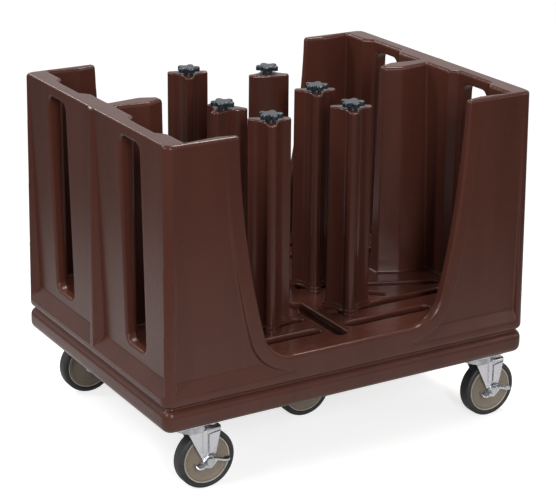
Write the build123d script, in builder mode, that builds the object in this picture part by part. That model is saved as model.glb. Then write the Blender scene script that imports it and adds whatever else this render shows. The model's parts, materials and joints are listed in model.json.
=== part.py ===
"""Dish cart with six sliding towers: moulded body, towers on clamped rods, and six swivel casters."""

from build123d import *
from math import atan2, cos, degrees, radians, sin
import os

os.makedirs("parts", exist_ok=True)

# Frame: X along the long side, Y front (-) to rear (+), Z up from the ground. Millimetres.

# ---- body, overall ----
base_length = 965.0
base_depth = 732.0
rim_length = 950.0
rim_depth = 716.0
overall_height = 816.0
plinth_height = 58.0
floor_rise = 67.0
plan_corner_radius = 24.0
groove_depth = 12.0
groove_width = 3.0
plinth_lower_radius = 20.0
plinth_upper_radius = 20.0
belt_radius = 12.0
rim_radius = 7.0

# ---- openings in the two long sides ----
opening_top_half = 296.0
opening_corner_radius = 80.0
opening_corner_turn = 76.0
opening_side_turn = 13.0
opening_band = 40.0
opening_overshoot = 60.0

# ---- end walls and fins ----
end_wall_inner = 418.0
channel_inner = 436.0
channel_y = (104.0, 266.0)
channel_step = 22.0
fin_crease_x = 340.0
middle_fin_tip_x = (290.0, 300.0)
middle_fin_tip = (17.0, 12.0)
middle_fin_crease = (42.0, 28.0)
middle_fin_root = (40.0, 18.0)
outer_fin_tip = 15.0
outer_fin_setback = 10.0
outer_fin_crease = (34.0, 26.0)
outer_fin_root = (26.0, 18.0)
fin_tip_radius = 8.0
fin_crease_radius = 12.0
channel_radius = 18.0

# ---- recessed panels ----
end_panel_depth = (22.0, 5.0)
end_panel_root_radius = (7.0, 4.4)
end_panel_lip_radius = (6.0, 3.8)
end_rib_half = 9.0
end_post = 14.0
front_panel_depth = 13.0
front_panel_drop = 16.0
front_post = 30.0
ledge_rise = 24.0
ledge_height = 30.0
ledge_lip_radius = 8.0
panel_side_slope = 0.45
panel_lead = 8.0
panel_lead_rise = 0.1
panel_tool_reach = 20.0
front_post_spread = 8.0
front_edge_taper = 18.0
front_ledge_lead = 1.0

# ---- hand slots ----
hand_slot_y = 185.0
hand_slot_width = 92.0
hand_slot_sill = 15.0
hand_slot_head = 27.0
hand_slot_radius = 20.0
hand_slot_edge = 6.0

# ---- floor slots of the first quadrant: inner end, outer end, width ----
slot_lip = 14.0
slot_lip_radius = 4.0
chamber_width = 50.0
chamber_height = 20.0
chamber_overrun = 6.0
centre_slot = ((0.0, 88.0), (0.0, 314.0), 34.0)
rear_slot = ((36.0, 268.0), (270.0, 268.0), 26.0)
middle_slot = ((36.0, 190.0), (370.0, 190.0), 24.0)
long_diagonal = ((60.0, 4.0), (385.0, 143.0), 23.0)
short_diagonal = ((165.0, 92.0), (224.0, 152.0), 20.0)

# ---- towers, rods and knobs ----
tower_drop = 31.0
tower_half = 50.0
tower_arm_back = 33.0
tower_arm_front = 15.0
tower_back = 36.0
tower_waist = (20.0, -6.0)
tower_nose_half = 13.0
tower_nose = 46.0
tower_top_share = 0.97
tower_top_radius = 3.5
foot_steps = ((1.15, 0.0, 7.0), (1.08, 7.0, 15.0))
foot_chamfer = 2.0
nose_radius = 11.0
back_radius = 8.0
arm_radius = 5.0
seat_gap = 0.3
join_overlap = 1.0
rod_radius = 6.0
rod_clearance = 0.5
running_fit = 0.05
t_bar_length = 46.0
t_bar_width = 19.0
t_bar_thickness = 8.0
t_bar_flat = 1.0
rod_tail = 8.0
knob_core_radius = 18.5
knob_lobes = 5
knob_lobe_radius = 8.0
knob_lobe_reach = 20.0
knob_thickness = 11.0
knob_neck = 6.5
knob_neck_radius = 12.0
knob_cap = 4.0
knob_round = 3.0
rod_chamfer = 1.0
# slot it stands in, quadrant, distance of the rod from the slot's inner end, direction of the nose
tower_places = {
    "tower_1": (rear_slot, (-1, 1), 48.0, -113.5),
    "tower_2": (middle_slot, (1, 1), 56.0, 69.0),
    "tower_3": (long_diagonal, (-1, -1), 115.0, -147.0),
    "tower_4": (middle_slot, (-1, -1), 88.0, -114.0),
    "tower_5": (long_diagonal, (1, -1), 43.5, -115.0),
    "tower_6": (middle_slot, (1, -1), 55.0, -116.0),
}

# ---- casters ----
wheel_radius = 70.0
wheel_width = 32.0
tread_radius = 6.0
hub_radius = 52.5
hub_boss_radius = 13.0
hub_boss_spread = 4.0
hub_rim = (8.0, 5.0)
hub_web_inset = (2.5, 4.0)
tyre_edge = (4.0, 1.5)
tyre_fit = 0.1
trail = 35.0
axle_radius = 6.0
fork_gap = 20.0
fork_sheet = 4.0
wheel_clearance = 5.0
fork_lead = 52.0
fork_tail = 32.0
fork_boss_radius = 15.0
fork_bend = 8.0
fork_boss_rise = 3.0
rib_width = 12.0
rib_height = 2.5
rib_length = 56.0
rib_taper = 35.0
rib_place = (-10.0, 50.0)
king_pin_radius = 8.0
race_radius = 36.0
race_width = 11.0
race_height = 14.0
race_drop = 5.0
race_taper = 10.0
race_flare = 2.0
pin_head_height = 5.0
pin_head_share = 1.6
plate_length = 105.0
plate_width = 85.0
plate_thickness = 4.0
plate_hole_x = 40.0
plate_hole_y = 30.0
plate_hole_clearance = 0.5
plate_corner_radius = 8.0
plate_edge_radius = 2.0
bolt_radius = 4.0
bolt_head_radius = 7.5
bolt_head_height = 5.5
bolt_grip = 24.0
bolt_fit = 0.1
bolt_hole_run = 2.0
nut_radius = 10.0
nut_height = 6.5
washer_rim = 1.5
washer_thickness = 1.5
thread_end = 2.0
lever_sheet = 3.0
pedal_reach = 14.0
guard_taper = 20.0
# outlines from the axle outwards: brake guard on the fork, lever, and its two pedals
guard_outline = ((-1, 20), (13, 20), (29, 70), (-1, 66))
lever_outline = (
    (-36, 3), (-36, -2), (-20, -6), (-10, -15), (8, -17), (16, -9), (24, -1), (48, 2),
    (48, 6), (34, 8), (20, 13), (8, 15), (-4, 12), (-14, 3),
)
long_pedal = ((14, 14.1), (20, 13), (34, 8), (48, 6), (48, 3.5), (34, 5.4), (20, 10.3), (14, 11.4))
short_pedal = ((-36, 3), (-22, 3), (-22, 0.5), (-36, 0.5))
caster_places = {
    "front_left": (-391.0, -302.5),
    "front_right": (391.0, -302.5),
    "rear_left": (-391.0, 302.5),
    "rear_right": (391.0, 302.5),
    "centre_front": (0.0, -84.0),
    "centre_rear": (0.0, 84.0),
}
braked_casters = ("front_left", "front_right")

# ---- heights above the ground, from the casters upwards ----
crown_bottom = 2 * wheel_radius + wheel_clearance
crown_top = crown_bottom + fork_sheet
race_split = crown_top + race_height
plate_bottom = race_split + race_drop
plinth_bottom = plate_bottom + plate_thickness
groove_height = plinth_bottom + plinth_height
floor_height = groove_height + floor_rise
ledge_bottom = groove_height + ledge_rise
ledge_top = ledge_bottom + ledge_height
front_panel_top = overall_height - front_panel_drop
hand_slot_bottom = floor_height + hand_slot_sill
hand_slot_top = overall_height - hand_slot_head
tower_top = overall_height - tower_drop


def save(shape, name):
    """Labels one piece and writes it as its own STEP file."""
    shape.label = name
    export_step(shape, f"parts/{name}.step")


def between(low, high, z):
    """Value at height z of a size that changes evenly from the groove to the rim."""
    share = (z - groove_height) / (overall_height - groove_height)
    return low + (high - low) * share


def half_length(z):
    return between(base_length, rim_length, z) / 2


def half_depth(z):
    return between(base_depth, rim_depth, z) / 2


# ------------------------------------------------------------------ body
side_rise = overall_height - floor_height - opening_corner_radius * (1 - cos(radians(opening_corner_turn)))
full_turn = radians(opening_corner_turn + opening_side_turn)
opening_side_radius = side_rise / (cos(radians(opening_corner_turn)) - cos(full_turn))
opening_flat_half = (
    opening_top_half
    - opening_corner_radius * sin(radians(opening_corner_turn))
    - opening_side_radius * (sin(full_turn) - sin(radians(opening_corner_turn)))
)


def opening_edge(grow):
    """Right-hand edge of the long-side opening, moved out by grow; returns its bottom and top ends."""
    corner = JernArc(
        (opening_flat_half, floor_height - grow), (1, 0), opening_corner_radius + grow, opening_corner_turn
    )
    side = JernArc(corner @ 1, corner % 1, opening_side_radius + grow, opening_side_turn)
    above = Line(side @ 1, (side @ 1) + Vector(0, opening_overshoot))
    return corner @ 0, above @ 1


def well_quarter(level):
    """Inside outline of the first quadrant at the floor (level 0) or the rim (level 1), from x=0 to y=0."""
    z = (floor_height, overall_height)[level]
    face = half_depth(z)
    tip_x = (opening_flat_half - outer_fin_setback, opening_top_half)[level]
    return [
        (tip_x, face - outer_fin_tip),
        (fin_crease_x, face - outer_fin_crease[level]),
        (end_wall_inner, face - outer_fin_root[level]),
        (end_wall_inner, channel_y[1]),
        (channel_inner, channel_y[1] - channel_step),
        (channel_inner, channel_y[0] + channel_step),
        (end_wall_inner, channel_y[0]),
        (end_wall_inner, middle_fin_root[level]),
        (fin_crease_x, middle_fin_crease[level]),
        (middle_fin_tip_x[level], middle_fin_tip[level]),
    ]


def well_outline(level):
    """Whole inside outline, made of the quarter and its mirror images."""
    quarter = well_quarter(level)
    right = quarter + [(x, -y) for x, y in reversed(quarter)]
    return right + [(-x, y) for x, y in reversed(right)]


def corner_group(sketch, x_low, x_high):
    """Corners of a sketch whose distance from the Y axis is in the given range."""
    return [v for v in sketch.vertices() if x_low < abs(v.X) < x_high]


def is_rim_edge(edge):
    return edge.center().Z > overall_height - 0.1


def is_opening_edge(edge):
    """True for an edge of an opening that lies on the outer face of a long side."""
    return all(
        abs(v.X) < opening_top_half + 1
        and v.Z > floor_height - 1
        and abs(abs(v.Y) - half_depth(v.Z)) < 0.3
        for v in edge.vertices()
    )


def is_hand_slot_edge(edge):
    """True for an edge round the mouth of a hand slot, inside or outside."""
    depths = [abs(v.X) for v in edge.vertices()]
    return min(depths) > end_wall_inner - 1 and max(depths) - min(depths) < channel_inner - end_wall_inner and all(
        abs(abs(v.Y) - hand_slot_y) < hand_slot_width / 2 + 1 and hand_slot_bottom - 1 < v.Z < hand_slot_top + 1
        for v in edge.vertices()
    )


def end_panel_section(z):
    """Section of one recessed end bay in the first quadrant at height z; it flares out just clear of the wall."""
    surface = half_length(z)
    share = (z - ledge_top) / (overall_height - ledge_top)
    depth = end_panel_depth[0] + (end_panel_depth[1] - end_panel_depth[0]) * share
    near = end_rib_half
    far = half_depth(z) - end_post
    return [
        (surface + panel_tool_reach, near - panel_lead),
        (surface + panel_lead_rise, near - panel_lead),
        (surface, near),
        (surface - depth, near + depth * panel_side_slope),
        (surface - depth, far - depth * panel_side_slope),
        (surface, far),
        (surface + panel_lead_rise, far + panel_lead),
        (surface + panel_tool_reach, far + panel_lead),
    ]


def in_quadrants(slot):
    """Middle, length, width and direction of a floor slot and its mirror images."""
    (x1, y1), (x2, y2), width = slot
    length = ((x2 - x1) ** 2 + (y2 - y1) ** 2) ** 0.5
    angle = degrees(atan2(y2 - y1, x2 - x1))
    sides = (1, -1) if x1 + x2 > 0 else (1,)
    return [
        ((side_x * (x1 + x2) / 2, side_y * (y1 + y2) / 2), length, width, side_x * side_y * angle)
        for side_x in sides
        for side_y in (1, -1)
    ]


all_slots = (centre_slot, rear_slot, middle_slot, long_diagonal, short_diagonal)
floor_slots = [place for slot in all_slots for place in in_quadrants(slot)]
bolt_places = [
    (x + side_x * plate_hole_x, y + side_y * plate_hole_y)
    for x, y in caster_places.values()
    for side_x in (1, -1)
    for side_y in (1, -1)
]

with BuildPart() as end_panel_tool:
    for level, height in enumerate((ledge_bottom - panel_lead, overall_height)):
        with BuildSketch(Plane.XY.offset(height)) as bay:
            Polygon(*end_panel_section(height), align=None)
            surface = half_length(height)
            fillet(corner_group(bay.sketch, surface - 0.01, surface + 0.01), end_panel_lip_radius[level])
            fillet(corner_group(bay.sketch, 0, surface - 1), end_panel_root_radius[level])
    loft(ruled=True)
    # sloping ledge below the bay
    with BuildSketch(Plane.XZ) as ledge:
        inner = half_length(ledge_top) - end_panel_depth[0]
        surface = half_length(ledge_bottom)
        Polygon(
            (inner, ledge_top), (surface, ledge_bottom), (surface + panel_lead_rise, ledge_bottom - panel_lead),
            (surface + panel_tool_reach, ledge_bottom - panel_lead), (surface + panel_tool_reach, overall_height),
            (inner - panel_tool_reach, overall_height), (inner - panel_tool_reach, ledge_top),
            align=None,
        )
        fillet(corner_group(ledge.sketch, surface - 0.01, surface + 0.01), ledge_lip_radius)
    extrude(amount=base_depth, both=True, mode=Mode.INTERSECT)

with BuildPart() as front_panel_tool:
    with BuildSketch(Plane.YZ.offset(opening_flat_half)):
        with BuildLine():
            Polyline(
                (-half_depth(front_panel_top), front_panel_top),
                (-half_depth(ledge_top) + front_panel_depth, ledge_top),
                (-half_depth(ledge_bottom) - front_ledge_lead, ledge_bottom),
                (-base_depth, ledge_bottom),
                (-base_depth, front_panel_top),
                close=True,
            )
        make_face()
    extrude(amount=base_length / 2)
    with BuildSketch(Plane.XZ.offset(rim_depth / 2 - front_panel_depth)):
        with BuildLine():
            start, end = opening_edge(opening_band)
            post_x = rim_length / 2 - front_post
            Polyline(start, (start.X, 0), (post_x + front_post_spread, 0), (post_x, end.Y), end)
        make_face()
    extrude(amount=2 * panel_tool_reach, taper=-front_edge_taper, mode=Mode.INTERSECT)

with BuildPart() as body:
    # plinth
    with BuildSketch(Plane.XY.offset(plinth_bottom)):
        RectangleRounded(base_length, base_depth, plan_corner_radius)
    extrude(amount=groove_height - groove_width / 2 - plinth_bottom)
    fillet(body.edges().group_by(Axis.Z)[0], plinth_lower_radius)
    fillet(body.edges().group_by(Axis.Z)[-1], plinth_upper_radius)
    # upper block, which leans in a little towards the rim
    for height in (groove_height + groove_width / 2, overall_height):
        with BuildSketch(Plane.XY.offset(height)):
            RectangleRounded(2 * half_length(height), 2 * half_depth(height), plan_corner_radius)
    loft(ruled=True)
    belt_bottom = groove_height + groove_width / 2
    fillet(body.edges().filter_by_position(Axis.Z, belt_bottom - 0.1, belt_bottom + 0.1), belt_radius)
    # waist behind the groove
    with BuildSketch(Plane.XY.offset(groove_height - plinth_upper_radius)):
        RectangleRounded(
            base_length - 2 * groove_depth, base_depth - 2 * groove_depth, plan_corner_radius - groove_depth
        )
    extrude(amount=plinth_upper_radius + 2 * belt_radius)
    # wells between the fins
    for level, height in enumerate((floor_height, overall_height)):
        with BuildSketch(Plane.XY.offset(height)) as well:
            Polygon(*well_outline(level), align=None)
            fillet(corner_group(well.sketch, middle_fin_tip_x[level] - 1, middle_fin_tip_x[level] + 1), fin_tip_radius)
            fillet(corner_group(well.sketch, fin_crease_x - 1, fin_crease_x + 1), fin_crease_radius)
            roots = corner_group(well.sketch, end_wall_inner - 1, end_wall_inner + 1)
            fillet([v for v in roots if not channel_y[0] - 1 < abs(v.Y) < channel_y[1] + 1], fin_crease_radius)
            channel = corner_group(well.sketch, end_wall_inner - 1, channel_inner + 1)
            fillet([v for v in channel if channel_y[0] - 1 < abs(v.Y) < channel_y[1] + 1], channel_radius)
    loft(ruled=True, mode=Mode.SUBTRACT)
    # openings in the two long sides
    with BuildSketch(Plane.XZ):
        with BuildLine():
            start, end = opening_edge(0.0)
            Polyline(end, (0, end.Y), (0, start.Y), start)
        make_face()
        mirror(about=Plane.YZ)
    extrude(amount=base_depth, both=True, mode=Mode.SUBTRACT)
    # softened rim and outer edges of the openings
    fillet(body.edges().filter_by(lambda e: is_rim_edge(e) or is_opening_edge(e)), rim_radius)
    # recessed bays of the ends and of the long sides
    for tool in (end_panel_tool, front_panel_tool):
        other = mirror(tool.part, about=Plane.YZ, mode=Mode.PRIVATE)
        for piece in (tool.part, other):
            add(piece, mode=Mode.SUBTRACT)
            mirror(piece, about=Plane.XZ, mode=Mode.SUBTRACT)

    # hand slots through the end walls
    for side in (1, -1):
        with BuildSketch(Plane.YZ.offset(side * end_wall_inner)):
            with Locations(*[(y, (hand_slot_bottom + hand_slot_top) / 2) for y in (-hand_slot_y, hand_slot_y)]):
                RectangleRounded(hand_slot_width, hand_slot_top - hand_slot_bottom, hand_slot_radius)
        extrude(amount=side * base_length / 2, mode=Mode.SUBTRACT)
    # softened edges of the hand slots, on both faces of the wall
    fillet(body.edges().filter_by(is_hand_slot_edge), hand_slot_edge)
    # floor slots with a wider chamber below their lips
    with BuildSketch(Plane.XY.offset(floor_height - slot_lip)):
        for (x, y), length, width, angle in floor_slots:
            with Locations((x, y)):
                SlotOverall(length, width, rotation=angle)
    extrude(amount=2 * slot_lip, mode=Mode.SUBTRACT)
    with BuildSketch(Plane.XY.offset(floor_height - slot_lip)):
        for (x, y), length, width, angle in floor_slots:
            with Locations((x, y)):
                Rectangle(length + 2 * chamber_overrun, chamber_width, rotation=angle)
    extrude(amount=-chamber_height, mode=Mode.SUBTRACT)
    # softened lips of the floor slots
    deck = body.faces().filter_by(Plane.XY).filter_by_position(Axis.Z, floor_height - 0.1, floor_height + 0.1)
    mouths = [wire for face in deck for wire in face.inner_wires() if wire.length < base_length]
    fillet([edge for wire in mouths for edge in wire.edges()], slot_lip_radius)
    # bolt holes for the casters
    with BuildSketch(Plane.XY.offset(plinth_bottom)):
        with Locations(*bolt_places):
            Circle(bolt_radius + bolt_fit)
    extrude(amount=bolt_grip + bolt_hole_run, mode=Mode.SUBTRACT)

save(body.part, "body")


# ------------------------------------------------------------------ towers
foot_bottom = floor_height + seat_gap
knob_bottom = tower_top + seat_gap
knob_top = knob_bottom + knob_neck + knob_thickness

with BuildSketch() as section:
    with BuildLine():
        waist_x, waist_y = tower_waist
        ThreePointArc((-tower_half, tower_arm_back), (0, tower_back), (tower_half, tower_arm_back))
        Line((tower_half, tower_arm_back), (tower_half, tower_arm_front))
        ThreePointArc((tower_half, tower_arm_front), (waist_x, waist_y), (tower_nose_half, -tower_nose))
        Line((tower_nose_half, -tower_nose), (-tower_nose_half, -tower_nose))
        ThreePointArc((-tower_nose_half, -tower_nose), (-waist_x, waist_y), (-tower_half, tower_arm_front))
        Line((-tower_half, tower_arm_front), (-tower_half, tower_arm_back))
    make_face()
    fillet(section.vertices().group_by(Axis.Y)[1], arm_radius)
    fillet(section.vertices().group_by(Axis.Y)[-1], back_radius)
    fillet(section.vertices().group_by(Axis.Y)[0], nose_radius)

with BuildPart() as tower:
    for grow, low, high in foot_steps:
        with BuildSketch(Plane.XY.offset(foot_bottom + low)):
            add(scale(section.sketch, by=grow, mode=Mode.PRIVATE))
        extrude(amount=high - low)
        chamfer(tower.edges().group_by(Axis.Z)[-1], foot_chamfer)
    with BuildSketch(Plane.XY.offset(foot_bottom)):
        add(section.sketch)
    with BuildSketch(Plane.XY.offset(tower_top)):
        add(scale(section.sketch, by=tower_top_share, mode=Mode.PRIVATE))
    loft(ruled=True)
    fillet(tower.edges().group_by(Axis.Z)[-1], tower_top_radius)
    with Locations((0, 0, (foot_bottom + tower_top) / 2)):
        Hole(rod_radius + rod_clearance)

with BuildPart() as knob:
    with BuildSketch(Plane.XY.offset(knob_bottom)):
        Circle(knob_neck_radius)
    extrude(amount=knob_neck + join_overlap)
    with BuildSketch(Plane.XY.offset(knob_bottom + knob_neck)) as star:
        Circle(knob_core_radius)
        with PolarLocations(knob_lobe_reach, knob_lobes):
            Circle(knob_lobe_radius)
        fillet(star.vertices(), knob_round)
    extrude(amount=knob_thickness)
    fillet(knob.edges().group_by(Axis.Z)[-1], knob_round)
    with BuildSketch(Plane.XY.offset(knob_bottom)):
        Circle(rod_radius + running_fit)
    extrude(amount=knob_top - knob_cap - knob_bottom, mode=Mode.SUBTRACT)

t_bar_top = floor_height - slot_lip - seat_gap
with BuildPart() as t_bar:
    with BuildSketch(Plane.XY.offset(t_bar_top)) as bar:
        Rectangle(t_bar_width, t_bar_length)
        fillet(bar.vertices().sort_by(Axis.Y).sort_by(lambda v: v.X * v.Y)[:2], t_bar_width / 2 - t_bar_flat)
    extrude(amount=-t_bar_thickness)
    with Locations((0, 0, t_bar_top)):
        Hole(rod_radius + running_fit)

with BuildPart() as tie_rod:
    with BuildSketch(Plane.XY.offset(t_bar_top - t_bar_thickness - rod_tail)):
        Circle(rod_radius)
    extrude(amount=knob_top - knob_cap - seat_gap - (t_bar_top - t_bar_thickness - rod_tail))
    chamfer(tie_rod.edges().group_by(Axis.Z)[0], rod_chamfer)
    chamfer(tie_rod.edges().group_by(Axis.Z)[-1], rod_chamfer)

for name, (slot, (side_x, side_y), along, nose) in tower_places.items():
    number = name[-1]
    (x1, y1), (x2, y2), width = slot
    angle = atan2(y2 - y1, x2 - x1)
    place = (side_x * (x1 + along * cos(angle)), side_y * (y1 + along * sin(angle)), 0)
    slot_turn = degrees(angle) * side_x * side_y
    save(tower.part.moved(Location(place, (0, 0, nose + 90))), name)
    save(knob.part.moved(Location(place, (0, 0, nose + 90))), "knob_" + number)
    save(tie_rod.part.moved(Location(place)), "tie_rod_" + number)
    save(t_bar.part.moved(Location(place, (0, 0, slot_turn))), "t_bar_" + number)


# ------------------------------------------------------------------ casters
axle_at = (trail, 0, wheel_radius)
leg_face = fork_gap + fork_sheet
axle_plane = Plane(origin=axle_at, x_dir=(1, 0, 0), z_dir=(0, 0, 1))
axle_line = Axis(axle_at, (0, 1, 0))
side_wall = wheel_width / 2
edge_wall = side_wall - tyre_edge[1]

with BuildPart() as caster_plate:
    with BuildSketch(Plane.XY.offset(plate_bottom)):
        RectangleRounded(plate_length, plate_width, plate_corner_radius)
        with GridLocations(2 * plate_hole_x, 2 * plate_hole_y, 2, 2):
            Circle(bolt_radius + plate_hole_clearance, mode=Mode.SUBTRACT)
    extrude(amount=plate_thickness)
    with BuildSketch(Plane.XY.offset(plate_bottom)):
        Circle(race_radius + race_flare)
        Circle(race_radius - race_width - race_flare, mode=Mode.SUBTRACT)
    extrude(amount=race_split + seat_gap - plate_bottom, taper=race_taper)
    with BuildSketch(Plane.XY.offset(plate_bottom)):
        Circle(king_pin_radius)
    extrude(amount=crown_bottom - pin_head_height - plate_bottom)
    with BuildSketch(Plane.XY.offset(crown_bottom - seat_gap)):
        Circle(pin_head_share * king_pin_radius)
    extrude(amount=-pin_head_height)
    fillet(caster_plate.edges().group_by(Axis.Z)[0], plate_edge_radius)

with BuildPart() as fork:
    with BuildSketch(Plane.YZ.offset(trail - fork_lead)) as bent:
        leg_low = wheel_radius - fork_boss_radius
        with BuildLine():
            Polyline(
                (-leg_face, leg_low), (-leg_face, crown_top), (leg_face, crown_top), (leg_face, leg_low),
                (fork_gap, leg_low), (fork_gap, crown_bottom), (-fork_gap, crown_bottom), (-fork_gap, leg_low),
                close=True,
            )
        make_face()
        fillet(bent.vertices().group_by(Axis.Y)[-1], fork_bend)
        fillet(bent.vertices().group_by(Axis.Y)[-2], fork_bend - fork_sheet)
    extrude(amount=fork_lead + fork_tail)
    with BuildSketch(Plane.XZ):
        boss = fork_boss_radius
        with Locations((trail, wheel_radius)):
            Circle(boss)
        Polygon(
            (trail - fork_lead, crown_top), (trail - boss, wheel_radius + fork_boss_rise),
            (trail + boss, wheel_radius + fork_boss_rise), (trail + fork_tail, crown_top),
            align=None,
        )
    extrude(amount=leg_face + join_overlap, both=True, mode=Mode.INTERSECT)
    with BuildSketch(Plane.XZ.offset(leg_face)):
        with Locations((trail + rib_place[0], wheel_radius + rib_place[1])):
            RectangleRounded(rib_width, rib_length, rib_width / 4)
    rib = extrude(amount=rib_height, taper=rib_taper)
    mirror(rib, about=Plane.XZ)
    with BuildSketch(Plane.XY.offset(crown_top)):
        Circle(race_radius)
        Circle(race_radius - race_width, mode=Mode.SUBTRACT)
    extrude(amount=race_split - crown_top, taper=race_taper)
    with Locations((0, 0, crown_top)):
        Hole(king_pin_radius + running_fit, depth=2 * fork_sheet)
    with BuildSketch(Plane.XZ):
        with Locations((trail, wheel_radius)):
            Circle(axle_radius + running_fit)
    extrude(amount=leg_face + fork_sheet, both=True, mode=Mode.SUBTRACT)

with BuildPart() as braked_fork:
    add(fork.part)
    with BuildSketch(Plane.XZ.offset(leg_face)):
        with Locations((trail, wheel_radius)):
            Polygon(*guard_outline, align=None)
    extrude(amount=rib_height, taper=guard_taper)

with BuildPart() as hub:
    with BuildSketch(axle_plane):
        with BuildLine():
            Polyline(
                (axle_radius + running_fit, 0), (axle_radius + running_fit, fork_gap - seat_gap),
                (hub_boss_radius, fork_gap - seat_gap),
                (hub_boss_radius + hub_boss_spread, side_wall - hub_web_inset[0]),
                (hub_radius - hub_rim[0], side_wall - hub_web_inset[1]), (hub_radius - hub_rim[1], edge_wall),
                (hub_radius - tyre_fit, edge_wall), (hub_radius - tyre_fit, 0),
                close=True,
            )
        make_face()
        mirror(about=Plane.XZ)
    revolve(axis=axle_line)

with BuildPart() as tyre:
    with BuildSketch(axle_plane) as tread:
        with BuildLine():
            Polyline(
                (hub_radius, -edge_wall), (hub_radius + tyre_edge[0], -side_wall), (wheel_radius, -side_wall),
                (wheel_radius, side_wall), (hub_radius + tyre_edge[0], side_wall), (hub_radius, edge_wall),
                close=True,
            )
        make_face()
        fillet(tread.vertices().group_by(Axis.X)[-1], tread_radius)
    revolve(axis=axle_line)


def make_axle(head_side):
    """Axle bolt with its head at -head_side and a washer and nut on the other leg."""
    with BuildPart() as axle:
        with BuildSketch(Plane.XZ.offset(head_side)):
            with Locations((trail, wheel_radius)):
                Circle(axle_radius)
        extrude(amount=-(head_side + leg_face + washer_thickness + nut_height + thread_end))
        with BuildSketch(Plane.XZ.offset(head_side)):
            with Locations((trail, wheel_radius)):
                RegularPolygon(nut_radius, 6)
        extrude(amount=nut_height)
        with BuildSketch(Plane.XZ.offset(-leg_face)):
            with Locations((trail, wheel_radius)):
                Circle(nut_radius + washer_rim)
        extrude(amount=-washer_thickness)
        with BuildSketch(Plane.XZ.offset(-leg_face - washer_thickness)):
            with Locations((trail, wheel_radius)):
                RegularPolygon(nut_radius, 6)
        extrude(amount=-nut_height)
    return axle.part


axle_bolt = make_axle(leg_face)
braked_axle_bolt = make_axle(leg_face + lever_sheet + 2 * seat_gap)

with BuildPart() as brake_lever:
    with BuildSketch(Plane.XZ.offset(leg_face + seat_gap)) as rocker:
        with Locations((trail, wheel_radius)):
            Polygon(*lever_outline, align=None)
    extrude(amount=lever_sheet)
    with BuildSketch(Plane.XZ.offset(leg_face + seat_gap)):
        with Locations((trail, wheel_radius)):
            Polygon(*long_pedal, align=None)
            Polygon(*short_pedal, align=None)
    extrude(amount=lever_sheet + pedal_reach)
    with BuildSketch(Plane.XZ.offset(leg_face)):
        with Locations((trail, wheel_radius)):
            Circle(axle_radius + running_fit)
    extrude(amount=lever_sheet + join_overlap, mode=Mode.SUBTRACT)

for where, (x, y) in caster_places.items():
    place = Location((x, y, 0))
    braked = where in braked_casters
    save(caster_plate.part.moved(place), "caster_plate_" + where)
    save((braked_fork if braked else fork).part.moved(place), "caster_fork_" + where)
    save(hub.part.moved(place), "wheel_hub_" + where)
    save(tyre.part.moved(place), "tyre_" + where)
    save((braked_axle_bolt if braked else axle_bolt).moved(place), "axle_bolt_" + where)
    if braked:
        save(brake_lever.part.moved(place), "brake_lever_" + where)

with BuildPart() as caster_bolts:
    with BuildSketch(Plane.XY.offset(plate_bottom)):
        with Locations(*bolt_places):
            RegularPolygon(bolt_head_radius, 6)
    extrude(amount=-bolt_head_height)
    with BuildSketch(Plane.XY.offset(plate_bottom)):
        with Locations(*bolt_places):
            Circle(bolt_radius)
    extrude(amount=plate_thickness + bolt_grip)

save(caster_bolts.part, "caster_bolts")
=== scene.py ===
"""Dish cart: camera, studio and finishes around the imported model, in metres."""
import json
import math

import bmesh
import bpy
from mathutils import Matrix, Vector


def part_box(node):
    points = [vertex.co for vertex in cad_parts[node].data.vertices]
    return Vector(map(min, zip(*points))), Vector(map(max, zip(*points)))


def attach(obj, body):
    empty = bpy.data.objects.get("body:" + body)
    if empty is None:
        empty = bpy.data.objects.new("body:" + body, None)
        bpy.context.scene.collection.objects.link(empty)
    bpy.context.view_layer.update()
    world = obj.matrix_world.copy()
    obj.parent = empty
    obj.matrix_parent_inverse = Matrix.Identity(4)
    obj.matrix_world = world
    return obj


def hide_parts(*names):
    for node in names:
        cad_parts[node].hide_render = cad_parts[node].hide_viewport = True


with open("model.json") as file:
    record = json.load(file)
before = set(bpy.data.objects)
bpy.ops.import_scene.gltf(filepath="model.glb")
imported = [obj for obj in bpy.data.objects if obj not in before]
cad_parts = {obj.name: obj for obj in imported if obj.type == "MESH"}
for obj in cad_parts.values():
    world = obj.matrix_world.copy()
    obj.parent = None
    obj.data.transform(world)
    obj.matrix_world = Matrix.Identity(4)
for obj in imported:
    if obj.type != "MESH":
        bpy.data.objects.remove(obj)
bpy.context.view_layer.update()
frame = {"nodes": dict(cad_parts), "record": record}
nodes = frame["nodes"]
scene = bpy.context.scene
scene.view_settings.view_transform = "Standard"

MM = 0.001

# ---------------------------------------------------------------- camera
AZIMUTH, ELEVATION, ROLL = -31.06, 19.63, 0.6
CAMERA_PLACE = (-2.107, -3.520, 1.865)
FOCAL_PIXELS, IMAGE_WIDTH = 1821.3, 556.0
SENSOR_WIDTH = 36.0
FAR_CLIP = 100.0

azimuth, elevation, roll = (math.radians(v) for v in (AZIMUTH, ELEVATION, ROLL))
backward = Vector((
    math.sin(azimuth) * math.cos(elevation),
    -math.cos(azimuth) * math.cos(elevation),
    math.sin(elevation),
))
level_right = Vector((math.cos(azimuth), math.sin(azimuth), 0.0))
level_up = backward.cross(level_right)
camera_right = level_right * math.cos(roll) + level_up * math.sin(roll)
camera_up = backward.cross(camera_right)

camera_data = bpy.data.cameras.new("camera")
camera_data.sensor_width = SENSOR_WIDTH
camera_data.lens = FOCAL_PIXELS * SENSOR_WIDTH / IMAGE_WIDTH
camera_data.clip_end = FAR_CLIP
camera = bpy.data.objects.new("camera", camera_data)
scene.collection.objects.link(camera)
facing = Matrix((camera_right, camera_up, backward)).transposed().to_4x4()
camera.matrix_world = Matrix.Translation(CAMERA_PLACE) @ facing
scene.camera = camera


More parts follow.
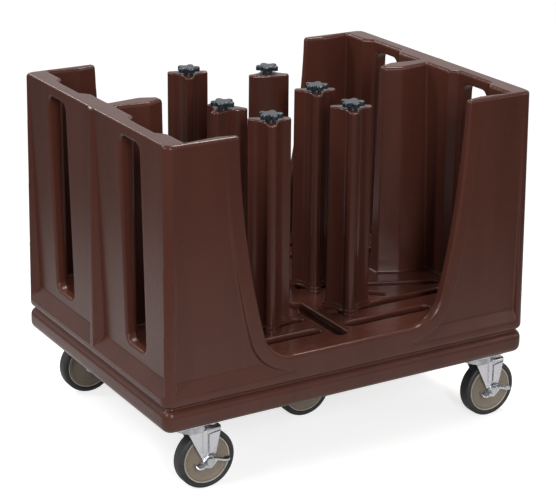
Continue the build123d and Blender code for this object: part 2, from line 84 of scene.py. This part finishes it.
# ---------------------------------------------------------------- node helpers
def new_material(name):
    material = bpy.data.materials.new(name)
    material.use_nodes = True
    tree = material.node_tree
    return material, tree, tree.nodes["Principled BSDF"]


def feed(tree, value, socket):
    """Links another node's output to a socket, or sets a plain number or colour."""
    if isinstance(value, bpy.types.NodeSocket):
        tree.links.new(value, socket)
    elif isinstance(value, (int, float)):
        socket.default_value = value
    else:
        socket.default_value = (*value, 1)


def coordinates(tree):
    return tree.nodes.new("ShaderNodeTexCoord").outputs["Object"]


def stretched(tree, vector, scale, turn=(0, 0, 0)):
    n = tree.nodes.new("ShaderNodeMapping")
    n.inputs["Scale"].default_value = scale
    n.inputs["Rotation"].default_value = turn
    tree.links.new(vector, n.inputs["Vector"])
    return n.outputs["Vector"]


def noise(tree, vector, scale, detail, roughness):
    n = tree.nodes.new("ShaderNodeTexNoise")
    n.inputs["Scale"].default_value = scale
    n.inputs["Detail"].default_value = detail
    n.inputs["Roughness"].default_value = roughness
    tree.links.new(vector, n.inputs["Vector"])
    return n.outputs["Fac"]


def cells(tree, vector, scale):
    n = tree.nodes.new("ShaderNodeTexVoronoi")
    n.inputs["Scale"].default_value = scale
    tree.links.new(vector, n.inputs["Vector"])
    return n.outputs["Distance"]


def ramp(tree, value, stops):
    """Grey level by value: each stop is a position and the level there."""
    n = tree.nodes.new("ShaderNodeValToRGB")
    elements = n.color_ramp.elements
    while len(elements) < len(stops):
        elements.new(0.5)
    for element, (position, level) in zip(elements, stops):
        element.position = position
        element.color = (level, level, level, 1)
    tree.links.new(value, n.inputs["Fac"])
    return n.outputs["Color"]


def mixed(tree, a, b, factor):
    n = tree.nodes.new("ShaderNodeMix")
    n.data_type = "RGBA"
    for value, socket in ((factor, n.inputs[0]), (a, n.inputs[6]), (b, n.inputs[7])):
        feed(tree, value, socket)
    return n.outputs[2]


def maths(tree, operation, *values):
    n = tree.nodes.new("ShaderNodeMath")
    n.operation = operation
    for value, socket in zip(values, n.inputs):
        feed(tree, value, socket)
    return n.outputs[0]


def bump(tree, height, distance, strength, normal=None):
    n = tree.nodes.new("ShaderNodeBump")
    n.inputs["Strength"].default_value = strength
    n.inputs["Distance"].default_value = distance
    tree.links.new(height, n.inputs["Height"])
    if normal is not None:
        tree.links.new(normal, n.inputs["Normal"])
    return n.outputs["Normal"]


def painted_gap_shade(tree, reach, stops):
    """Painted shade: dark where another surface is closer than reach, as a shadow in gaps; white
    elsewhere.
    """
    n = tree.nodes.new("ShaderNodeAmbientOcclusion")
    n.inputs["Distance"].default_value = reach
    n.samples = 4
    return ramp(tree, n.outputs["AO"], stops)


def shade(colour, amount):
    return tuple(amount * c for c in colour)


def grey(level):
    return (level, level, level)


# ---------------------------------------------------------------- moulded plastic
# noises: scale, detail, roughness; stops: value, grey level; bumps: distance, strength
CLOUD = (3.2, 5.0, 0.55)
CLOUD_SHADES = (0.88, 1.10)
CLOUD_ROUGHNESS = (-0.05, 0.09)
MOTTLE = (55.0, 4.0, 0.6)
MOTTLE_STOPS = ((0.55, 0.0), (0.80, 0.35))
MOTTLE_SHADE = 1.25
FLOW = (1.6, 3.0, 0.5)
FLOW_STRETCH = (7, 7, 0.7)
FLOW_STOPS = ((0.42, 0.0), (0.62, 0.7))
FLOW_SHADE = 0.80
RUBS = (9.0, 9.0, 0.75)
RUB_STRETCH, RUB_TURN = (1, 1, 6), (0.5, 0.4, 0)
RUB_STOPS = ((0.62, 0.0), (0.80, 0.3))
RUB_ROUGHNESS = 0.16
PEEL_DETAIL = (2.0, 0.45)
PEEL_BUMP = (0.0006, 0.35)
PORES_PER_PEEL = 2.4
PORE_BUMP = (0.0002, 0.25)


def moulded_plastic(name, colour, scuffed, roughness, peel_scale, gloss):
    """Orange peel and pores, clouds and mottle, vertical flow marks, and pale rough rubs."""
    material, tree, shader = new_material(name)
    at = coordinates(tree)
    cloud = noise(tree, at, *CLOUD)
    flow = noise(tree, stretched(tree, at, FLOW_STRETCH), *FLOW)
    rubs = noise(tree, stretched(tree, at, RUB_STRETCH, RUB_TURN), *RUBS)
    mottled = ramp(tree, noise(tree, at, *MOTTLE), MOTTLE_STOPS)
    rubbed = ramp(tree, rubs, RUB_STOPS)

    low, high = CLOUD_SHADES
    tone = mixed(tree, shade(colour, low), shade(colour, high), cloud)
    tone = mixed(tree, tone, shade(colour, FLOW_SHADE), ramp(tree, flow, FLOW_STOPS))
    tone = mixed(tree, tone, shade(colour, MOTTLE_SHADE), mottled)
    feed(tree, mixed(tree, tone, scuffed, rubbed), shader.inputs["Base Color"])

    low, high = CLOUD_ROUGHNESS
    rough = mixed(tree, grey(roughness + low), grey(roughness + high), cloud)
    rough = mixed(tree, rough, grey(roughness + RUB_ROUGHNESS), rubbed)
    feed(tree, rough, shader.inputs["Roughness"])

    normal = bump(tree, noise(tree, at, peel_scale, *PEEL_DETAIL), *PEEL_BUMP)
    normal = bump(tree, cells(tree, at, peel_scale * PORES_PER_PEEL), *PORE_BUMP, normal)
    feed(tree, normal, shader.inputs["Normal"])
    shader.inputs["Specular IOR Level"].default_value = gloss
    return material


# ---------------------------------------------------------------- plated steel
STREAKS = (40.0, 5.0, 0.6)
STREAK_SHADE = 0.86
STREAK_ROUGHNESS = 0.14
STREAK_BUMP = (0.0002, 0.3)
SPOTS = (160.0, 3.0, 0.7)
SPOT_STOPS = ((0.56, 0.0), (0.75, 0.5))
SPOT_SHADE = 0.72
SPOT_ROUGHNESS = 0.25
# painted shade: the plate's colour is darkened where other surfaces come close
PAINTED_SHADE_REACH = 0.007
PAINTED_SHADE_STOPS = ((0.35, 0.0), (0.85, 1.0))
PAINTED_SHADE_LEVEL = 0.22


def plated_steel(name, colour, roughness, stretch):
    """Drawn streaks, dull spots, and painted shade in the creases where sheets and bolts meet."""
    material, tree, shader = new_material(name)
    at = coordinates(tree)
    streaks = noise(tree, stretched(tree, at, stretch), *STREAKS)
    dull = ramp(tree, noise(tree, at, *SPOTS), SPOT_STOPS)

    tone = mixed(tree, shade(colour, STREAK_SHADE), colour, streaks)
    tone = mixed(tree, tone, shade(colour, SPOT_SHADE), dull)
    # painted shade in the gaps between parts
    outside_painted_shade = painted_gap_shade(tree, PAINTED_SHADE_REACH, PAINTED_SHADE_STOPS)
    tone = mixed(tree, shade(colour, PAINTED_SHADE_LEVEL), tone, outside_painted_shade)
    feed(tree, tone, shader.inputs["Base Color"])

    rough = mixed(tree, grey(roughness), grey(roughness + STREAK_ROUGHNESS), streaks)
    rough = mixed(tree, rough, grey(roughness + SPOT_ROUGHNESS), dull)
    feed(tree, rough, shader.inputs["Roughness"])
    feed(tree, bump(tree, streaks, *STREAK_BUMP), shader.inputs["Normal"])
    shader.inputs["Metallic"].default_value = 1.0
    return material


# ---------------------------------------------------------------- tyre rubber
GRAIN = (420.0, 3.0, 0.6)
GRAIN_BUMP = (0.0003, 0.4)
DUST = (24.0, 6.0, 0.65)
DUST_STOPS = ((0.50, 0.0), (0.76, 0.4))
DUST_COLOUR = (0.10, 0.098, 0.095)
CLEAN_ROUGHNESS, DUSTY_ROUGHNESS = 0.52, 0.74


def rubber(name, colour):
    material, tree, shader = new_material(name)
    at = coordinates(tree)
    dusty = ramp(tree, noise(tree, at, *DUST), DUST_STOPS)
    feed(tree, mixed(tree, colour, DUST_COLOUR, dusty), shader.inputs["Base Color"])
    rough = mixed(tree, grey(CLEAN_ROUGHNESS), grey(DUSTY_ROUGHNESS), dusty)
    feed(tree, rough, shader.inputs["Roughness"])
    feed(tree, bump(tree, noise(tree, at, *GRAIN), *GRAIN_BUMP), shader.inputs["Normal"])
    return material


# ---------------------------------------------------------------- wheel hub plastic
HAZE = (28.0, 5.0, 0.6)
HAZE_SHADES = (0.85, 1.12)
GRIME = (70.0, 5.0, 0.7)
GRIME_STOPS = ((0.58, 0.0), (0.78, 0.5))
GRIME_COLOUR = (0.09, 0.08, 0.07)
GRIME_ROUGHNESS = (0.42, 0.62)
GRIME_BUMP = (0.0003, 0.25)


def hub_plastic(name, colour):
    material, tree, shader = new_material(name)
    at = coordinates(tree)
    grime = noise(tree, at, *GRIME)
    low, high = (shade(colour, amount) for amount in HAZE_SHADES)
    tone = mixed(tree, low, high, noise(tree, at, *HAZE))
    tone = mixed(tree, tone, GRIME_COLOUR, ramp(tree, grime, GRIME_STOPS))
    feed(tree, tone, shader.inputs["Base Color"])
    low, high = (grey(level) for level in GRIME_ROUGHNESS)
    feed(tree, mixed(tree, low, high, grime), shader.inputs["Roughness"])
    feed(tree, bump(tree, grime, *GRIME_BUMP), shader.inputs["Normal"])
    return material


# ---------------------------------------------------------------- finishes
# moulded: colour, scuffed colour, roughness, scale of the orange peel, gloss
body_finish = moulded_plastic(
    "body_moulding", (0.086, 0.0275, 0.0185), (0.15, 0.075, 0.06), 0.20, 260.0, 0.34)
tower_finish = moulded_plastic(
    "tower_moulding", (0.076, 0.0240, 0.0165), (0.14, 0.07, 0.055), 0.16, 300.0, 0.40)
knob_finish = moulded_plastic(
    "knob_moulding", (0.014, 0.023, 0.034), (0.06, 0.07, 0.09), 0.24, 420.0, 0.75)
# plated: colour, roughness, stretch of the streaks
chrome_finish = plated_steel("bright_plate", (0.74, 0.75, 0.79), 0.18, (1, 1, 0.3))
steel_finish = plated_steel("zinc_plate", (0.62, 0.63, 0.64), 0.30, (1, 1, 0.15))
tyre_finish = rubber("tyre_rubber", (0.020, 0.020, 0.022))
hub_finish = hub_plastic("hub_moulding", (0.25, 0.205, 0.155))
# painted highlight: a paler copy of the hub plastic for the hub's lip
ring_painted_highlight = hub_plastic("hub_ring", (0.50, 0.46, 0.41))

# how the node's name starts, and its finish
FINISHES = (
    ("body", body_finish),
    ("tower_", tower_finish),
    ("knob_", knob_finish),
    ("tie_rod_", steel_finish),
    ("t_bar_", steel_finish),
    ("caster_plate_", chrome_finish),
    ("caster_fork_", chrome_finish),
    ("brake_lever_", chrome_finish),
    ("axle_bolt_", steel_finish),
    ("caster_bolts", steel_finish),
    ("wheel_hub_", hub_finish),
    ("tyre_", tyre_finish),
)


def finish_of(name):
    return next(finish for start, finish in FINISHES if name.startswith(start))


for name, obj in nodes.items():
    obj.data.materials.clear()
    obj.data.materials.append(finish_of(name))


# ---------------------------------------------------------------- pieces that replace nodes
SHARP_ANGLE = 35.0


def body_of(name):
    bodies = frame["record"]["behaviour"]["bodies"]
    return next(body for body, members in bodies.items() if name in members)


def stands_for(piece, name):
    """The piece takes the node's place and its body."""
    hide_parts(name)
    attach(piece, body_of(name))


def stand_in(made, title, name):
    """Turns a bmesh into a piece that replaces a node, smooth but for its sharp edges."""
    bmesh.ops.recalc_face_normals(made, faces=made.faces)
    made.normal_update()
    limit = math.radians(SHARP_ANGLE)
    for edge in made.edges:
        edge.smooth = len(edge.link_faces) == 2 and edge.calc_face_angle(0.0) < limit
    for face in made.faces:
        face.smooth = True
    mesh = bpy.data.meshes.new(title + name)
    made.to_mesh(mesh)
    made.free()
    mesh.materials.append(finish_of(name))
    piece = bpy.data.objects.new(title + name, mesh)
    scene.collection.objects.link(piece)
    stands_for(piece, name)
    return piece


# ---------------------------------------------------------------- body
VOXEL, SMOOTHING_ROUNDS = ((0.0020, 5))
SMOOTHING = 0.5
KEPT_FACES = 0.30


def softened(name):
    """A remeshed copy of a node, with its edges rounded over as in the mould."""
    piece = bpy.data.objects.new("soft_" + name, nodes[name].data.copy())
    scene.collection.objects.link(piece)
    remesh = piece.modifiers.new("remesh", "REMESH")
    remesh.mode = "VOXEL"
    remesh.voxel_size = VOXEL
    smooth = piece.modifiers.new("smooth", "SMOOTH")
    smooth.factor = SMOOTHING
    smooth.iterations = SMOOTHING_ROUNDS
    thinner = piece.modifiers.new("thinner", "DECIMATE")
    thinner.ratio = KEPT_FACES
    depsgraph = bpy.context.evaluated_depsgraph_get()
    mesh = bpy.data.meshes.new_from_object(piece.evaluated_get(depsgraph))
    piece.modifiers.clear()
    piece.data = mesh
    mesh.polygons.foreach_set("use_smooth", [True] * len(mesh.polygons))
    mesh.materials.clear()
    mesh.materials.append(finish_of(name))
    stands_for(piece, name)


softened("body")

# ---------------------------------------------------------------- wheels
# half profiles in millimetres: radius, distance from the wheel's middle plane
HUB_PROFILE = (
    (6.05, 19.7), (11.0, 19.7), (12.6, 19.2), (13.2, 17.8), (13.6, 15.2), (15.0, 13.4),
    (17.5, 12.6), (26.0, 11.3), (34.0, 10.9), (42.0, 11.2), (47.0, 12.0), (48.6, 13.4),
    (49.9, 13.9), (51.3, 13.6), (52.1, 12.7), (53.1, 12.9), (54.1, 14.4), (55.3, 15.3),
    (56.6, 15.2), (57.5, 14.2), (57.8, 12.5),
)
# radii of the hub's lip, painted paler as a painted highlight
HUB_PAINTED_HIGHLIGHT_RADII = (53.8, 57.4)
TYRE_PROFILE = (
    (58.0, 13.5), (58.7, 14.9), (60.0, 15.7), (61.5, 16.0), (64.0, 16.0), (66.3, 15.54),
    (68.24, 14.24), (69.54, 12.3), (70.0, 10.0),
)
NO_PAINTED_HIGHLIGHT = (0.0, 0.0)
TURNED_STEPS = 96


def turned(name, profile, highlight_radii):
    """A half profile turned about the axle; faces between the highlight radii are painted paler, a
    painted highlight on the hub's lip.
    """
    low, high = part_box(name)
    x, y, z = ((a + b) / 2 for a, b in zip(low, high))
    outline = list(profile) + [(radius, -out) for radius, out in reversed(profile)]
    made = bmesh.new()
    rings = []
    for step in range(TURNED_STEPS):
        turn = 2 * math.pi * step / TURNED_STEPS
        rings.append([
            made.verts.new((
                x + radius * MM * math.cos(turn), y + out * MM, z + radius * MM * math.sin(turn)))
            for radius, out in outline])
    for near, far in zip(rings, rings[1:] + rings[:1]):
        for i in range(len(outline)):
            j = (i + 1) % len(outline)
            face = made.faces.new((near[i], near[j], far[j], far[i]))
            radii = (outline[i][0], outline[j][0])
            face.material_index = int(min(radii) > highlight_radii[0] and max(radii) < highlight_radii[1])
    return stand_in(made, "turned_", name)


for name in nodes:
    if name.startswith("wheel_hub_"):
        turned(name, HUB_PROFILE, HUB_PAINTED_HIGHLIGHT_RADII).data.materials.append(ring_painted_highlight)
    elif name.startswith("tyre_"):
        turned(name, TYRE_PROFILE, NO_PAINTED_HIGHLIGHT)

# ---------------------------------------------------------------- brake levers
# in millimetres from the axle: the plate's outline as across and up, and each pedal's line
# as across, up and how far its edge stands out from the plate
LEVER_PLATE = (
    (-22, -4.5), (-13, -10), (-6, -15.5), (4, -17), (9, -13.5), (15, -8.5), (21, -2),
    (30, 1.5), (37, 3.2), (36, 6.2), (28, 8.6), (20, 11.6), (12, 14.2), (4, 14.6),
    (-3, 12), (-9, 7), (-15, 3), (-22, 0),
)
LONG_PEDAL = (
    (6, 13.6, 15), (12, 13.2, 16), (20, 10.6, 16.5), (28, 7.6, 16), (36, 5.0, 14.5),
    (43, 3.4, 12), (48, 3.6, 9),
)
SHORT_PEDAL = (
    (-38, 5.2, 8), (-36.5, 1.0, 11), (-33, -1.6, 13.5), (-27, -2.4, 14.5),
    (-20, -1.8, 14), (-13, 1.5, 12),
)
LEVER_SHEET = 3.0
PEDAL_SHEET = 2.2
# the pedal's section: out and up at its root, then up at its middle, edge and lip
PEDAL_ROOT = (0.5, 0.6)
PEDAL_MIDDLE, PEDAL_EDGE_UP = 0.5, -3.2
PEDAL_LIP_OUT, PEDAL_LIP_UP = 1.0, -5.0
BEVELLED_ANGLE = 50.0
BEVEL_WIDTH, BEVEL_SEGMENTS = 0.0006, 2
LINE_STEPS = 5


def smooth_line(points, closed):
    """Catmull-Rom line through points."""
    count = len(points)
    line = []
    for i in range(count if closed else count - 1):
        around = [i + k if not closed else (i + k) % count for k in (-1, 0, 1, 2)]
        four = [points[min(max(k, 0), count - 1)] for k in around]
        for step in range(LINE_STEPS):
            t = step / LINE_STEPS
            line.append(tuple(
                0.5 * (2 * b + (c - a) * t + (2 * a - 5 * b + 4 * c - d) * t * t
                       + (3 * b - a - 3 * c + d) * t ** 3)
                for a, b, c, d in zip(*four)))
    return line if closed else line + [tuple(points[-1])]


def pressed_lever(name):
    """Plate round the axle with two bent pedals, all with rounded edges."""
    wheel_low, wheel_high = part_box(name.replace("brake_lever_", "tyre_"))
    x, z = ((wheel_low[k] + wheel_high[k]) / 2 for k in (0, 2))
    inner_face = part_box(name)[1][1]
    made = bmesh.new()

    def vertex(across, out, above):
        return made.verts.new((x + across * MM, inner_face - out * MM, z + above * MM))

    outline = smooth_line(LEVER_PLATE, True)
    inner, outer = (
        [vertex(across, out, above) for across, above in outline] for out in (0.0, LEVER_SHEET))
    made.faces.new(inner)
    made.faces.new(outer)
    for i in range(len(outline)):
        j = (i + 1) % len(outline)
        made.faces.new((inner[i], inner[j], outer[j], outer[i]))

    for pedal in (LONG_PEDAL, SHORT_PEDAL):
        rows = []
        for across, above, reach in smooth_line(pedal, False):
            section = (
                PEDAL_ROOT, (reach * PEDAL_MIDDLE, 0.0), (reach, PEDAL_EDGE_UP),
                (reach + PEDAL_LIP_OUT, PEDAL_LIP_UP))
            top = [vertex(across, out, above + rise) for out, rise in section]
            under = [
                vertex(across, out, above + rise - PEDAL_SHEET) for out, rise in reversed(section)]
            rows.append(top + under)
        for near, far in zip(rows, rows[1:]):
            for i in range(len(near)):
                j = (i + 1) % len(near)
                made.faces.new((near[i], near[j], far[j], far[i]))
        made.faces.new(rows[0])
        made.faces.new(rows[-1])

    bmesh.ops.recalc_face_normals(made, faces=made.faces)
    limit = math.radians(BEVELLED_ANGLE)
    sharp = [e for e in made.edges if len(e.link_faces) == 2 and e.calc_face_angle(0.0) > limit]
    bmesh.ops.bevel(
        made, geom=sharp, offset=BEVEL_WIDTH, segments=BEVEL_SEGMENTS, affect="EDGES",
        clamp_overlap=True)
    stand_in(made, "pressed_", name)


for name in nodes:
    if name.startswith("brake_lever_"):
        pressed_lever(name)

# ---------------------------------------------------------------- floor
FLOOR_CORNERS = ((-30, -30, 0), (30, -30, 0), (30, 30, 0), (-30, 30, 0))
# stops along the distance from the middle, in units of four metres
PER_METRE = 0.25
FLOOR_COLOUR = ((0.20, 0.60), (0.50, 0.12))
CAMERA_GLOW = ((0.20, 0.72), (0.50, 0.97))
MIRRORED_GLOW = ((0.25, 0.18), (0.46, 0.04))


def seen_directly(tree, paths):
    return maths(
        tree, "MAXIMUM", paths.outputs["Is Camera Ray"], paths.outputs["Is Transmission Ray"])


def floor_paint(name):
    """Pale, whiter further out, dimmer in reflections, and it keeps the shadow."""
    material, tree, shader = new_material(name)
    tree.nodes.remove(shader)
    distance = tree.nodes.new("ShaderNodeVectorMath")
    distance.operation = "LENGTH"
    tree.links.new(coordinates(tree), distance.inputs[0])
    reach = maths(tree, "MULTIPLY", distance.outputs["Value"], PER_METRE)
    paths = tree.nodes.new("ShaderNodeLightPath")
    direct = maths(
        tree, "MULTIPLY", seen_directly(tree, paths), ramp(tree, reach, CAMERA_GLOW))
    mirrored = maths(
        tree, "MULTIPLY", paths.outputs["Is Glossy Ray"], ramp(tree, reach, MIRRORED_GLOW))
    diffuse = tree.nodes.new("ShaderNodeBsdfDiffuse")
    tree.links.new(ramp(tree, reach, FLOOR_COLOUR), diffuse.inputs["Color"])
    glow = tree.nodes.new("ShaderNodeEmission")
    glow.inputs["Color"].default_value = (1, 1, 1, 1)
    tree.links.new(maths(tree, "MAXIMUM", direct, mirrored), glow.inputs["Strength"])
    both = tree.nodes.new("ShaderNodeAddShader")
    tree.links.new(diffuse.outputs[0], both.inputs[0])
    tree.links.new(glow.outputs[0], both.inputs[1])
    tree.links.new(both.outputs[0], tree.nodes["Material Output"].inputs["Surface"])
    return material


floor_mesh = bpy.data.meshes.new("floor")
floor_mesh.from_pydata(FLOOR_CORNERS, [], [(0, 1, 2, 3)])
floor_mesh.materials.append(floor_paint("floor_paint"))
floor = bpy.data.objects.new("floor", floor_mesh)
scene.collection.objects.link(floor)

# ---------------------------------------------------------------- surroundings
# what reflections see, by height: 0 straight down, 0.5 level, 1 straight up
SURROUNDINGS = ((0.0, 0.55), (0.50, 0.62), (0.67, 0.66), (0.78, 0.24), (1.0, 0.16))
AMBIENT = 0.21

world = bpy.data.worlds.new("studio")
scene.world = world
world.use_nodes = True
tree = world.node_tree
paths = tree.nodes.new("ShaderNodeLightPath")
heading = tree.nodes.new("ShaderNodeSeparateXYZ")
generated = tree.nodes.new("ShaderNodeTexCoord").outputs["Generated"]
tree.links.new(generated, heading.inputs[0])
height = maths(tree, "MULTIPLY_ADD", heading.outputs["Z"], 0.5, 0.5)
mirrored = maths(
    tree, "MULTIPLY", paths.outputs["Is Glossy Ray"], ramp(tree, height, SURROUNDINGS))
strength = maths(tree, "MAXIMUM", seen_directly(tree, paths), mirrored)
background = tree.nodes["Background"]
background.inputs["Color"].default_value = (1, 1, 1, 1)
tree.links.new(maths(tree, "MAXIMUM", strength, AMBIENT), background.inputs["Strength"])

# ---------------------------------------------------------------- lamps
WHITE, WARM, WARMER = (1, 1, 1), (1.0, 0.94, 0.91), (1.0, 0.93, 0.89)
# name, place, aimed at, width and height, watts, colour
LAMPS = (
    ("key_left", (-3.2, -1.0, 2.7), (0.0, 0.0, 0.5), (0.35, 2.0), 40.0, WHITE),
    ("rear_left", (-2.8, 1.5, 2.8), (0.2, 0.0, 0.5), (0.25, 1.6), 36.0, WHITE),
    ("front_fill", (-1.4, -4.3, 2.2), (0.0, 0.0, 0.45), (0.7, 1.6), 98.0, WHITE),
    ("strip_right", (3.0, -2.7, 1.7), (0.0, 0.0, 0.45), (0.2, 1.6), 8.0, WHITE),
    ("overhead", (1.2, 0.4, 3.3), (0.0, 0.0, 0.4), (2.0, 0.5), 64.0, WARMER),
    ("behind", (-0.6, 3.5, 2.7), (0.0, 0.0, 0.6), (1.8, 0.4), 26.0, WARM),
)

for name, place, target, size, watts, colour in LAMPS:
    lamp_data = bpy.data.lights.new(name, "AREA")
    lamp_data.shape = "RECTANGLE"
    lamp_data.size, lamp_data.size_y = size
    lamp_data.energy = watts
    lamp_data.color = colour
    lamp = bpy.data.objects.new(name, lamp_data)
    lamp.location = place
    lamp.rotation_mode = "QUATERNION"
    lamp.rotation_quaternion = (Vector(target) - Vector(place)).to_track_quat("-Z", "Y")
    scene.collection.objects.link(lamp)
